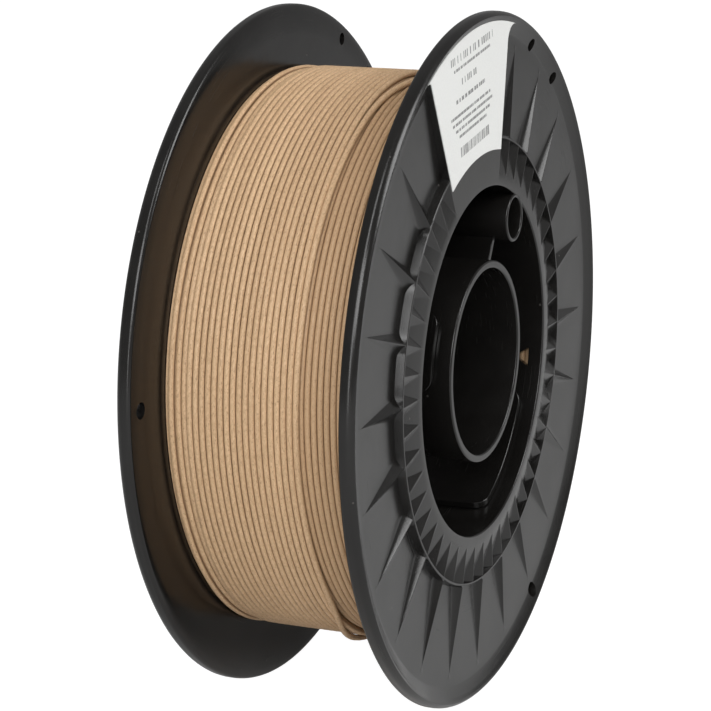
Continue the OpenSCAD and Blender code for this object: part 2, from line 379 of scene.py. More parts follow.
def bodyOutline():
    # one closed section: barrel, inner face, rim, face, ring of pockets, collar
    radius, back = flange["radius"], flange["rimBack"]
    start, rows = flange["filletFrom"], flange["filletRows"]
    reach = flange["filletTo"] - start
    low = onFace(start)
    fillet = [(start + reach * i / rows, low + (hubZ - low) * (i / rows) ** flange["filletCurve"])
              for i in range(rows + 1)]
    ridgeRows = [ring["foot"] + ridge["length"] * i / ridge["rows"] for i in range(ridge["rows"] + 1)]
    return (
        [(hub["barrelR"], 0), (barrelOuter, 0)]
        + [(barrelOuter, innerZ - hub["notchRow"]), (barrelOuter, innerZ)]
        + [(r, innerZ) for r in flange["innerRows"]]
        + [(radius - flange["lipW"], innerZ)]
        + arc(radius - back["radius"], innerZ + flange["lipDrop"] + back["radius"], back["radius"],
              back["from"], 0, back["steps"])
        + [(r, rimZ - lowerShade) for r, lowerShade in flange["rimFront"]]
        + fillet[::-1]
        + [(r, onFace(r)) for r in (flange["lastRow"], *ridgeRows[::-1])]
        + [(ring["top"], hubZ - ring["edge"]), (ring["top"] - ring["edge"], hubZ)]
        + [(ringInside, hubZ), (hub["collarR"], hubZ)]
        + arc(hub["barrelR"] + hub["edge"], hubZ - hub["edge"], hub["edge"], 90, 180, hub["collarSteps"])
        + [(hub["barrelR"], z) for z in hub["barrelRows"]])


def padSide(r, flare):
    # how far the pad's side has flared where it runs into the rim
    past = min(flare, max(0.0, r - (flange["filletTo"] + pad["overlap"] - flare)))
    return flare - math.sqrt(flare ** 2 - past ** 2)


def hasRidge(number):
    at = (number * 360 / ridge["count"] + 180) % 360 - 180
    clear = math.degrees(ridge["width"] / ring["foot"])
    return at + clear < pad["from"] or at - clear > pad["to"]


def columnPlaces(r):
    # angle and height of every column on the face at radius r, from fixed columns with even steps between
    degree = math.degrees(1 / r)
    along = min(1.0, (r - ring["foot"]) / ridge["length"])
    spread = max(0.0, (r - ring["foot"] - ridge["length"]) / ridge["spreadOver"])
    foot = len(ridge["flank"]) - 1
    fixed = {}
    for number in range(ridge["count"]):
        middle = number * ridgeColumns
        at = number * 360 / ridge["count"]
        if not hasRidge(number):
            continue
        width = ridge["width"] * (1 - along) + ridge["tip"]
        for j in range(-foot, foot + 1):
            share, tall = ridge["flank"][abs(j)]
            lean = math.copysign(share * width * degree, j)
            lean += (j * columnStep - lean) * min(1.0, spread)
            height = (hubZ - ridge["drop"] - faceZ) * tall * (1 - along)
            fixed[middle + j] = (at + lean, height)
    for edge, column, way in (("from", padColumns[0], -1), ("to", padColumns[1], 1)):
        at = pad[edge] + way * padSide(r, pad["flare"][edge]) * degree
        fixed[column % flange["steps"]] = ((at + 360) % 360, 0)
        fixed[(column + way) % flange["steps"]] = ((at + way * pad["draft"] * degree + 360) % 360, 0)
    keys = sorted(fixed)
    places = {}
    for first, second in zip(keys, keys[1:] + [keys[0] + flange["steps"]]):
        startAngle, startHeight = fixed[first]
        endAngle, endHeight = fixed[second % flange["steps"]]
        if second >= flange["steps"]:
            endAngle += 360
        for column in range(first, second):
            share = (column - first) / (second - first)
            places[column % flange["steps"]] = (startAngle + (endAngle - startAngle) * share,
                                                startHeight + (endHeight - startHeight) * share)
    return places


def signedColumn(column):
    return (column + flange["steps"] // 2) % flange["steps"] - flange["steps"] // 2


def underPad(column):
    return padColumns[0] <= signedColumn(column) <= padColumns[1]


def insidePad(column):
    return padColumns[0] < signedColumn(column) < padColumns[1]


def columnOf(vert):
    return round(math.degrees(math.atan2(vert.co.x, vert.co.y)) / columnStep) % flange["steps"]


def shapeFace(bm):
    # gathers the columns into ridges, and lifts the pad
    rows = {}
    for vert in bm.verts:
        r = math.hypot(vert.co.x, vert.co.y)
        if ring["foot"] - touch < r < flange["filletTo"] - touch and vert.co.z > faceZ - touch:
            rows.setdefault(round(r, 3), []).append((vert, columnOf(vert)))
    for r, row in rows.items():
        places = columnPlaces(r)
        for vert, column in row:
            angle, height = places[column]
            z = max(vert.co.z, hubZ) if underPad(column) else vert.co.z + height
            vert.co = polar(r, angle, z)


def circleOf(bm, radius):
    # the vertices of one circle at the hub's height, by column
    return {columnOf(v): v for v in bm.verts
            if abs(math.hypot(v.co.x, v.co.y) - radius) < touch and abs(v.co.z - hubZ) < touch}


def sinkPockets(bm):
    # the flat strip between collar and ring wall becomes pockets, except under the pad
    near, far = circleOf(bm, hub["collarR"]), circleOf(bm, ringInside)
    nearVerts, farVerts = set(near.values()), set(far.values())
    cells = []
    for number in range(ring["pockets"]):
        columns = [(number * pocketColumns + i) % flange["steps"] for i in range(pocketColumns + 1)]
        columns = [c for c in columns if not insidePad(c)]
        if len(columns) > 2:
            cells.append((number, columns))
    strip = [f for f in bm.faces if nearVerts & set(f.verts) and farVerts & set(f.verts)
             and not all(underPad(columnOf(v)) for v in f.verts)]
    bmesh.ops.delete(bm, geom=strip, context="FACES_ONLY")
    bmesh.ops.delete(bm, geom=[e for e in bm.edges if not e.link_faces], context="EDGES")
    halfCell = math.radians(180 / ring["pockets"])
    for number, columns in cells:
        face = bm.faces.new([near[c] for c in columns] + [far[c] for c in reversed(columns)])
        low = bmesh.ops.poke(bm, faces=[face])["verts"][0]
        low.co = polar(ringInside * math.cos(halfCell), (number + 0.5) * 360 / ring["pockets"],
                       faceZ + ring["floor"])
    crests = [e for e in bm.edges if len(nearVerts & set(e.verts)) == 1 and len(farVerts & set(e.verts)) == 1
              and e.is_manifold and e.calc_face_angle() > math.radians(ring["crestAngle"])]
    softened(bm, ring["crest"], crests)


driver = {
    "at": 30,
    "r": 44.6,
    "bore": 5.9,
    "wall": 1.2,
    "edge": 0.45,
    "steps": 96,
    "ribT": 1.8,  # the rib that joins the tube to the bore's wall
    "ribDrop": 5.2,
    "ribInto": 0.4,  # how far the rib runs into the bore's wall
    "ribEdge": 0.3,
}
tongue = {
    "thick": 1.9,
    "gap": 0.3,
    "stop": 5.0,  # how far its tip stays behind the other half's front
    "slotSlack": 0.8,  # at each side of a tongue, in the other half's web
    "round": 4.0,
    "roundSteps": 8,
    "root": 5.0,
    "draft": 1.2,  # how much wider each side is at the parting plane
    "edge": 0.25,
    "sharp": 1.0,  # radians between faces, past which an edge is rounded
    "bend": 3,  # degrees between its bends
    # place and half of the span in degrees, for the wall that each runs along
    "barrel": (-78, 26),
    "bore": (135, 21),
}
holes = {
    "inset": 5.0,
    "steps": 48,
    "places": ((150, 4.6), (22.4, 3.7), (36.6, 3.7)),  # angle and diameter
}
notch = {
    "at": 100,
    "width": 5.8,
    "reach": 4.6,
}


def tubeOutline(rIn, rOut, zTo, edge):
    return ([(rIn, 0), (rOut, 0)]
            + arc(rOut - edge, zTo - edge, edge, 0, 90, hub["edgeSteps"])
            + arc(rIn + edge, zTo - edge, edge, 90, 180, hub["edgeSteps"]))


def tonguePlate(at, half, rFrom, rTo, tipZ, rootZ):
    # a flat plate, rounded at the tip and bent round the axis
    middle = (rFrom + rTo) / 2
    reach = middle * math.radians(half)
    foot = reach + tongue["draft"]
    bm = bmesh.new()
    corners = ((-foot, rootZ, 0), (foot, rootZ, 0), (reach, tipZ, 0), (-reach, tipZ, 0))
    face = bm.faces.new([bm.verts.new(corner) for corner in corners])
    bmesh.ops.bevel(bm, geom=list(face.verts)[2:], offset=tongue["round"], offset_type="OFFSET",
                    segments=tongue["roundSteps"], profile=0.5, affect="VERTICES", clamp_overlap=True,
                    material=-1)
    raised(bm, (0, 0, rTo - rFrom))
    rims = [e for e in bm.edges if e.calc_face_angle(0) > tongue["sharp"]
            and abs(e.verts[0].co.z - e.verts[1].co.z) < touch]
    softened(bm, tongue["edge"], rims)
    steps = math.ceil(2 * half / tongue["bend"])
    for i in range(1, steps):
        cut = -reach + 2 * reach * i / steps
        bmesh.ops.bisect_plane(bm, geom=bm.verts[:] + bm.edges[:] + bm.faces[:], plane_co=(cut, 0, 0),
                               plane_no=(1, 0, 0))
    for vert in bm.verts:
        along, z, out = vert.co
        vert.co = polar(rFrom + out, at + math.degrees(along / middle), z)
    bmesh.ops.recalc_face_normals(bm, faces=bm.faces)
    return bm


def sectorBar(at, half, rFrom, rTo, zFrom, zTo):
    # a bar bent round the axis, with a step for each 2 degrees
    bm = spinSection([(rFrom, zFrom), (rTo, zFrom), (rTo, zTo), (rFrom, zTo)], math.ceil(half), 2 * half)
    return turned(bm, at - half)


def webPlate():
    # the wall at mid-width, with a slot for each tongue of the other half
    low, high, top = boreOuter - hub["joint"], hub["barrelR"] + hub["joint"], hub["web"]
    plate = spinSection([(low, 0), (high, 0), (high, top), (low, top)], hub["webSteps"])
    slots = bmesh.new()
    for wall, (at, half) in (("barrel", tongue["barrel"]), ("bore", tongue["bore"])):
        room = tongue["thick"] + 2 * tongue["gap"]
        rFrom = hub["barrelR"] - room if wall == "barrel" else boreOuter
        slack = math.degrees((tongue["draft"] + tongue["slotSlack"]) / rFrom)
        addTo(slots, sectorBar(2 * driver["at"] - at, half + slack, rFrom, rFrom + room, -overshoot,
                               top + overshoot))
    return cutBy(plate, slots)


def tongues():
    # one along the barrel and one along the bore's tube, each with a root that joins it to its wall
    bm = bmesh.new()
    tip = tongue["stop"] - hubZ
    barrelR = hub["barrelR"] - tongue["gap"]
    boreR = boreOuter + tongue["gap"]
    at, half = tongue["barrel"]
    addTo(bm, tonguePlate(at, half, barrelR - tongue["thick"], barrelR, tip, tongue["root"]),
          sectorBar(at, half, barrelR - tongue["thick"] / 2, barrelR + 2 * tongue["gap"], 0, tongue["root"]))
    at, half = tongue["bore"]
    addTo(bm, tonguePlate(at, half, boreR, boreR + tongue["thick"], tip, tongue["root"]),
          sectorBar(at, half, boreR - 2 * tongue["gap"], boreR + tongue["thick"] / 2, 0, tongue["root"]))
    return bm


def driverTube():
    outline = tubeOutline(driver["bore"], driver["bore"] + driver["wall"], hubZ, driver["edge"])
    tube = turned(spinSection(outline, driver["steps"]), driver["at"], (0, driver["r"], 0))
    start = boreOuter - driver["ribInto"]
    end = driver["r"] - driver["bore"] - driver["wall"] / 2
    tall = hubZ - driver["ribDrop"]
    rib = block((driver["ribT"], end - start, tall), (0, (start + end) / 2, tall / 2))
    return addTo(tube, turned(softened(rib, driver["ribEdge"]), driver["at"]))


def cuts():
    # the holes for the filament's end, and the notch for its start
    bm = bmesh.new()
    for at, diameter in holes["places"]:
        drill = bmesh.new()
        bmesh.ops.create_cone(drill, cap_ends=True, segments=holes["steps"], radius1=diameter / 2,
                              radius2=diameter / 2, depth=flange["rimT"] + 2 * overshoot)
        addTo(bm, turned(drill, at, (0, flange["radius"] - holes["inset"], innerZ + flange["rimT"] / 2)))
    wedge = bmesh.new()
    corners = [(-notch["width"] / 2, innerZ), (notch["width"] / 2, innerZ), (0, innerZ - notch["reach"])]
    wedge.faces.new([wedge.verts.new((x, hub["barrelR"] - overshoot, z)) for x, z in corners])
    raised(wedge, (0, hub["barrelWall"] + 2 * overshoot, 0))
    return addTo(bm, turned(wedge, notch["at"]))


def mouldedHalf():
    body = spinSection(bodyOutline(), flange["steps"])
    shapeFace(body)
    sinkPockets(body)
    bmesh.ops.recalc_face_normals(body, faces=body.faces)
    print("flange turned and shaped:", len(body.faces), "faces")
    body = cutBy(body, cuts())
    print("holes cut")
    bore = spinSection(tubeOutline(hub["boreR"], boreOuter, hubZ, hub["edge"]), hub["boreSteps"])
    return addTo(body, bore, webPlate(), tongues(), driverTube())


# the wound filament, in the half's frame: z runs towards the labelled side

winding = {
    "strand": 1.75,
    "roundness": 4,  # curve resolution, which gives 12 sides
    "steps": 120,  # rings in each turn
    "outerR": 81.6,  # radii are to the strand's middle
    "lowerR": 79.8,
    "firstR": 54.1,
    "pitch": 1.83,
    "endZ": 27.85,
    "lastZ": 9.9,  # the last whole turn of the outer layer, at the left of the label
    "lastAt": -75,
    "sunk": (-25.9, -22.4, 0.75),  # turns that lie lower by the plain side: from, to, and how far
    "sunkEase": 0.6,
    "climb": 30,  # degrees in which a strand rises from the layer below
    "startSink": 1.6,  # how far below its layer a lower strand starts
    # how the turns stray, the share of it in height, and the size of the noise round and along the axis
    "wander": {"far": 0.12, "height": 0.3, "heightScale": 1.7, "round": 2.2, "along": 0.12},
    "bareTurns": 1.4,  # how much of the strand's end lies open on one side
    "bareEase": 12,  # rings before it
    "lowerTurns": 12.5,
    "lowerAt": 100,
    "firstTurns": 4,
    "firstAt": 40,
    # angle, z and radius of the loose end: over its neighbours, beside them, then down to the flange
    "looseEnd": (
        (-300, 8.76, 81.6), (-272, 8.3, 82.4), (-245, 6.8, 83.3), (-215, 4.2, 83.4), (-190, 2.9, 83.4),
        (-175, 3.0, 83.4), (-160, 4.3, 83.4), (-150, 6.7, 83.3), (-143, 8.6, 82.9), (-136, 9.45, 82.1),
        (-128, 9.6, 81.6), (-100, 9.74, 81.6), (-75, 9.86, 81.6), (-45, 10.0, 81.6), (-30, 10.4, 81.6),
        (-21, 10.9, 81.6), (-13, 12.3, 81.6), (-4, 15.6, 81.6), (5, 20.2, 81.6), (14, 24.4, 81.6),
        (24, 27.2, 81.6), (38, 27.8, 81.6), (86, 27.85, 81.6), (104, 27.85, 81.1)),
}
core = {
    "gap": 0.5,  # how far it stays below the strands' middles
    "fit": 0.2,  # round the barrel
    "end": 0.1,  # how far it stays behind the last turn's side
    "sunkEdge": (0.4, 0.5),  # the slopes beside the turns that lie lower
    "firstStep": 7,  # width of the step that the first turns lie on
    "steps": 180,
}


def tubeAlong(points, openFrom=None):
    # the strand along a route; from the point openFrom on, it has no neighbour beside it
    curve = bpy.data.curves.new("route", "CURVE")
    curve.dimensions = "3D"
    curve.bevel_depth = winding["strand"] / 2
    curve.bevel_resolution = winding["roundness"]
    curve.use_fill_caps = True
    spline = curve.splines.new("POLY")
    spline.points.add(len(points) - 1)
    for knot, place in zip(spline.points, points):
        knot.co = (*place, 1)
    holder = bpy.data.objects.new("route", curve)
    scene.collection.objects.link(holder)
    mesh = bpy.data.meshes.new_from_object(holder.evaluated_get(bpy.context.evaluated_depsgraph_get()))
    bpy.data.curves.remove(curve)
    sides = 2 * winding["roundness"] + 4
    # the bare attribute takes the painted groove shade off the open end
    bare = mesh.attributes.new("bare", "FLOAT", "POINT")
    if openFrom:
        for i, point in enumerate(bare.data):
            point.value = rise(min(i // sides, len(points)), openFrom - winding["bareEase"], openFrom)
    bm = bmesh.new()
    bm.from_mesh(mesh)
    bpy.data.meshes.remove(mesh)
    bmesh.ops.remove_doubles(bm, verts=bm.verts, dist=weld)
    bmesh.ops.recalc_face_normals(bm, faces=bm.faces)
    return bm


def woundPoint(angle, z, r):
    # neighbouring turns wander together, so they stay side by side
    wander = winding["wander"]
    t = math.radians(angle)
    turn = Vector((wander["round"] * math.sin(t), wander["round"] * math.cos(t), z * wander["along"]))
    return polar(r + wander["height"] * wander["far"] * noise.noise(turn * wander["heightScale"]), angle,
                 z + wander["far"] * noise.noise(turn))


def smoothBetween(keys, at):
    # a smooth run through keys of (angle, z, radius)
    i = max(n for n in range(len(keys) - 1) if keys[n][0] <= at or n == 0)
    a, b = Vector(keys[i]), Vector(keys[i + 1])
    before, after = Vector(keys[max(i - 1, 0)]), Vector(keys[min(i + 2, len(keys) - 1)])
    leave, arrive = (b - before) / (b.x - before.x), (after - a) / (after.x - a.x)
    span = b.x - a.x
    t = (at - a.x) / span
    point = (a * (2 * t ** 3 - 3 * t ** 2 + 1) + leave * span * (t ** 3 - 2 * t ** 2 + t)
             + b * (3 * t ** 2 - 2 * t ** 3) + arrive * span * (t ** 3 - t ** 2))
    return point.y, point.z


def outerStrand():
    # the outer layer's turns and the loose end, in one run from the plain side
    keys = winding["looseEnd"]
    turns = (winding["lastZ"] + winding["endZ"]) / winding["pitch"]
    start = winding["lastAt"] - 360 * turns
    sunkFrom, sunkTo, sunk = winding["sunk"]
    ease = winding["sunkEase"]
    step = 360 / winding["steps"]
    points = []
    angle = start
    while angle < keys[0][0]:
        z = winding["pitch"] * (angle - start) / 360 - winding["endZ"]
        low = sunk * rise(z, sunkFrom - ease, sunkFrom + ease) * (1 - rise(z, sunkTo - ease, sunkTo + ease))
        below = (winding["outerR"] - winding["lowerR"]) * (1 - rise(angle, start, start + winding["climb"]))
        points.append(woundPoint(angle, z, winding["outerR"] - low - below))
        angle += step
    while angle < keys[-1][0]:
        points.append(woundPoint(angle, *smoothBetween(keys, angle)))
        angle += step
    return tubeAlong(points, len(points) - round(winding["bareTurns"] * winding["steps"]))


def layer(r, turns, steps, startAt):
    # one layer from the labelled side's flange inwards
    points = []
    for i in range(round(turns * steps)):
        angle = startAt + 360 * i / steps
        sink = winding["startSink"] * (1 - rise(i, 0, steps * winding["climb"] / 360))
        points.append(woundPoint(angle, winding["endZ"] - winding["pitch"] * i / steps, r - sink))
    return tubeAlong(points)


def windingCore():
    # what fills the winding under the turns that show
    high, low = winding["outerR"] - core["gap"], winding["lowerR"] - core["gap"]
    sunkFrom, sunkTo, sunk = winding["sunk"]
    outside, inside = core["sunkEdge"]
    layerEnd = winding["lastZ"] - winding["pitch"]
    end = winding["endZ"] + winding["strand"] / 2 - core["end"]
    step = end - core["firstStep"]
    inner = barrelOuter + core["fit"]
    return spinSection([(inner, -end), (high, -end),
                        (high, sunkFrom - outside), (high - sunk, sunkFrom + inside),
                        (high - sunk, sunkTo - inside), (high, sunkTo + outside),
                        (high, layerEnd), (low, layerEnd), (low, end),
                        (winding["firstR"], end), (winding["firstR"], step), (inner, step)], core["steps"])


# the label: a thin film with a plain generic print

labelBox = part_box("label")
label = {
    "thick": -(labelBox[0][1] - labelBox[1][1]) / mm,
    "inner": 61.0,
    "outer": 97.3,
    "margin": 0.3,
    "middle": -10.7,  # the rows stand square to this angle
    "sectorSteps": 24,
    "flareSteps": 8,
    "ink": 0.02,
    "seed": 7,
    "gaps": (0.35, 0.35, 0.9),  # between dashes, as shares of the row's height
    # rows of plain dashes: height above the axis, row's height, from, to, shortest and longest dash
    "rows": (
        (92.6, 2.1, -16.0, 17.0, 0.4, 1.0),
        (89.8, 0.8, -14.0, 14.5, 0.7, 1.8),
        (85.8, 1.8, -8.5, 3.0, 0.4, 0.9),
        (81.2, 1.1, -13.5, 9.0, 0.8, 2.0),
        (77.2, 0.8, -18.0, 13.0, 0.6, 2.4),
        (75.2, 0.8, -17.0, 14.5, 0.6, 2.4),
        (73.2, 0.8, -15.0, 12.0, 0.6, 2.4),
        (71.2, 0.8, -12.5, 9.0, 0.6, 2.4)),
    # a row of plain bars: height above the axis, row's height, from, to, then the bars' widths and gaps
    "bars": (66.6, 2.8, -12.0, 10.0),
    "barWidths": (0.25, 0.5, 0.75),
    "barGaps": (0.25, 0.5, 0.6),
}


def labelOutline(fromAngle, toAngle):
    # a sector whose outer corners flare into the circle
    inner, outer, steps, flareSteps = (label[key] for key in ("inner", "outer", "sectorSteps", "flareSteps"))
    low, high = pad["flare"]["from"], pad["flare"]["to"]
    swingLow, swingHigh = (math.degrees(math.asin(flare / (outer - flare))) for flare in (low, high))
    points = [polar(inner, fromAngle + (toAngle - fromAngle) * i / steps) for i in range(steps + 1)]
    for i in range(flareSteps + 1):
        points.append(polar(outer - high, toAngle + swingHigh)
                      + polar(high, toAngle - 90 + (90 + swingHigh) * i / flareSteps))
    for i in range(1, steps):
        points.append(polar(outer, toAngle + swingHigh
                            - (toAngle - fromAngle + swingLow + swingHigh) * i / steps))
    for i in range(flareSteps + 1):
        points.append(polar(outer - low, fromAngle - swingLow)
                      + polar(low, fromAngle - swingLow + (90 + swingLow) * i / flareSteps))
    return points


def labelFilm():
    inset = math.degrees(label["margin"] / label["inner"])
    outline = labelOutline(pad["from"] + inset, pad["to"] - inset)
    bm = bmesh.new()
    bm.faces.new([bm.verts.new(p + Vector((0, 0, hubZ))) for p in outline])
    return raised(bm, (0, 0, label["thick"]))


def labelPrint():
    # plain dashes and bars that say nothing
    bm = bmesh.new()
    dice = random.Random(label["seed"])
    top = hubZ + label["thick"]

    def dash(across, up, wide, tall):
        addTo(bm, block((wide, tall, label["ink"]), (across + wide / 2, up, top + label["ink"] / 2)))

    for up, tall, start, stop, shortest, longest in label["rows"]:
        across = start
        while across < stop:
            wide = min(dice.uniform(shortest, longest), stop - across)
            dash(across, up, wide, tall)
            across += wide + tall * dice.choice(label["gaps"])
    up, tall, across, stop = label["bars"]
    while across < stop:
        wide = dice.choice(label["barWidths"])
        dash(across, up, wide, tall)
        across += wide + dice.choice(label["barGaps"])
    return turned(bm, label["middle"])


# finishes: lengths are in metres, and a pattern's size is how often it changes in a metre

plastic = {
    "colour": (0.0072, 0.0067, 0.0062),
    "worn": (0.015, 0.0142, 0.0132),
    "refraction": 1.44,
    "gloss": (0.17, 0.24),  # roughness, from the smoothest patches to the dullest
    "glossBand": (0.3, 0.7),  # levels of the patches' noise
    "patches": 70,
    "patchBand": (0.35, 0.65),
    "patchWear": 0.25,
    "grain": 4200,
    "grainDepth": 0.000012,
    "flow": 32,  # the slow waviness of moulded walls
    "flowDepth": 0.00022,
    "scuffs": (40, 2600),  # along the rim and across it
    "scuffBand": (0.64, 0.72),
    "scuffedPlaces": 45,
    "scuffedBand": (0.5, 0.62),
    "scuffWear": 0.8,
    "dust": (0.07, 0.066, 0.06),
    "dustSize": 520,
    "dustReach": 0.16,  # share of a cell that a speck fills
    "dustFree": 0.994,  # share of the cells that have none
    "dustCover": 0.7,
    "markDulls": 0.12,  # roughness that scuffs and dust add
}
strandFinish = {
    "light": (0.64, 0.436, 0.257),
    "dark": (0.485, 0.315, 0.175),
    "streaks": (900, 2400),  # along the strand and across it
    "batches": (12, 260),  # slow changes of tone, along and across
    "band": (0.3, 0.7),  # levels of both noises
    "streakShare": 0.75,
    "batchShare": 0.35,
    "lowerShade": (0.41, 0.258, 0.14),  # painted shade: the turns that lie a layer lower are made darker and browner, as if shaded by the flange
    "lowerShadeFrom": (0.0805, 0.0816, 0.07),  # radii: full painted shade, no painted shade, and where the rule starts
    "lowerShadeShare": 0.6,
    "speck": (0.24, 0.135, 0.066),
    "specks": (1300, 3400),
    "speckBand": (0.60, 0.70),
    "speckShare": 0.55,
    # painted shade: the colour that stands for the shadow in the grooves between the turns
    "grooveShade": (0.22, 0.125, 0.062),
    "grooveShadeFrom": (0.12, 0.62),  # how far a side faces outwards, where the shade starts and ends
    "grooveShadeShare": 0.85,
    "bareGrooveShade": 0.15,  # what is left of that shade on the open end
    "gloss": (0.5, 0.68),
    "grainDepth": 0.00003,
    "reach": 0.08,  # radius that turns an angle into a length
}
film = {
    "colour": (0.785, 0.79, 0.77),
    "shade": (0.745, 0.75, 0.73),
    "gloss": (0.34, 0.44),
    "ink": (0.17, 0.17, 0.17),
    "inkThin": (0.36, 0.36, 0.355),
    "inkGloss": (0.5, 0.65),
    "ripple": 55,
    "rippleBand": (0.2, 0.8),
    "rippleShare": (0.5, 1.0),
    "rippleDepth": 0.00006,
    "fine": 1500,
    "fineBand": (0.25, 0.75),
    "glossBand": (0.3, 0.7),
}


class Wiring:
    # one node tree with short ways to add and join nodes

    def __init__(self, tree):
        self.nodes = tree.nodes
        self.links = tree.links

    def add(self, kind, **settings):
        node = self.nodes.new("ShaderNode" + kind)
        for key, value in settings.items():
            setattr(node, key, value)
        return node

    def feed(self, node, **sources):
        # a socket gets a link or a plain value; the key is its number or its name, with _ for a space
        for key, source in sources.items():
            numbered = key.startswith("in") and key[2:].isdigit()
            slot = node.inputs[int(key[2:])] if numbered else node.inputs[key.replace("_", " ")]
            if isinstance(source, bpy.types.NodeSocket):
                self.links.new(source, slot)
            else:
                slot.default_value = (*source, 1) if slot.type == "RGBA" else source
        return node.outputs[0] if node.outputs else None

    def math(self, operation, a, b=0.0):
        return self.feed(self.add("Math", operation=operation), in0=a, in1=b)

    def band(self, value, low, high, toLow=0.0, toHigh=1.0):
        # a smooth change between two levels
        return self.feed(self.add("MapRange", interpolation_type="SMOOTHSTEP"), Value=value, From_Min=low,
                         From_Max=high, To_Min=toLow, To_Max=toHigh)

    def blend(self, share, first, second):
        mix = self.add("Mix", data_type="RGBA")
        self.feed(mix, in0=share, in6=first, in7=second)
        return mix.outputs[2]

    def cloud(self, vector, scale, detail=2.0, roughness=0.5):
        noiseNode = self.add("TexNoise")
        return self.feed(noiseNode, Vector=vector, Scale=scale, Detail=detail, Roughness=roughness)

    def stretched(self, vector, along, across):
        scaled = self.add("VectorMath", operation="MULTIPLY")
        return self.feed(scaled, in0=vector, in1=(along, across, across))


def newGroup(name, outputs, inputs=()):
    group = bpy.data.node_groups.new(name, "ShaderNodeTree")
    for way, sockets in (("INPUT", inputs), ("OUTPUT", outputs)):
        for title, kind in sockets:
            group.interface.new_socket(name=title, in_out=way, socket_type="NodeSocket" + kind)
    return group, Wiring(group), group.nodes.new("NodeGroupOutput")


def roundTheAxis():
    # place as length along the turn, radius and width, and how far the surface faces outwards or inwards
    group, w, out = newGroup("roundTheAxis", [("Place", "Vector"), ("Outwards", "Float")])
    at = w.add("TexCoord")
    split = w.add("SeparateXYZ")
    w.feed(split, Vector=at.outputs["Object"])
    x, y, z = split.outputs
    radius = w.math("SQRT", w.math("ADD", w.math("MULTIPLY", x, x), w.math("MULTIPLY", z, z)))
    along = w.math("MULTIPLY", w.math("ARCTAN2", x, z), strandFinish["reach"])
    place = w.feed(w.add("CombineXYZ"), X=along, Y=radius, Z=y)
    spoke = w.feed(w.add("CombineXYZ"), X=w.math("DIVIDE", x, radius), Y=0.0, Z=w.math("DIVIDE", z, radius))
    outwards = w.add("VectorMath", operation="DOT_PRODUCT")
    w.feed(outwards, in0=at.outputs["Normal"], in1=spoke)
    w.feed(out, Place=place, Outwards=w.math("ABSOLUTE", outwards.outputs["Value"]))
    return group


def mouldedSkin(axis):
    # black plastic with patchy gloss, scuffs along the rim, and specks of dust
    group, w, out = newGroup("mouldedSkin", [("Colour", "Color"), ("Gloss", "Float"), ("Grain", "Float"),
                                             ("Flow", "Float")])
    at = w.add("TexCoord").outputs["Object"]
    turn = w.add("Group", node_tree=axis)
    patch = w.cloud(at, plastic["patches"], 3.0, 0.6)
    streaks = w.cloud(w.stretched(turn.outputs["Place"], *plastic["scuffs"]), 1.0)
    scuffed = w.band(w.cloud(at, plastic["scuffedPlaces"], 1.0), *plastic["scuffedBand"])
    scuff = w.math("MULTIPLY", w.band(streaks, *plastic["scuffBand"]), scuffed)
    cells = w.add("TexVoronoi", feature="F1")
    w.feed(cells, Vector=at, Scale=plastic["dustSize"])
    tone = w.add("SeparateColor")
    w.feed(tone, Color=cells.outputs["Color"])
    dust = w.math("MULTIPLY", w.math("LESS_THAN", cells.outputs["Distance"], plastic["dustReach"]),
                  w.math("GREATER_THAN", tone.outputs[0], plastic["dustFree"]))
    worn = w.band(patch, *plastic["patchBand"], 0.0, plastic["patchWear"])
    colour = w.blend(worn, plastic["colour"], plastic["worn"])
    colour = w.blend(w.math("MULTIPLY", scuff, plastic["scuffWear"]), colour, plastic["worn"])
    colour = w.blend(w.math("MULTIPLY", dust, plastic["dustCover"]), colour, plastic["dust"])
    marks = w.math("MULTIPLY", w.math("MAXIMUM", scuff, dust), plastic["markDulls"])
    gloss = w.math("ADD", w.band(patch, *plastic["glossBand"], *plastic["gloss"]), marks)
    w.feed(out, Colour=colour, Gloss=gloss, Grain=w.cloud(at, plastic["grain"], 1.0),
           Flow=w.cloud(at, plastic["flow"], 1.0))
    return group


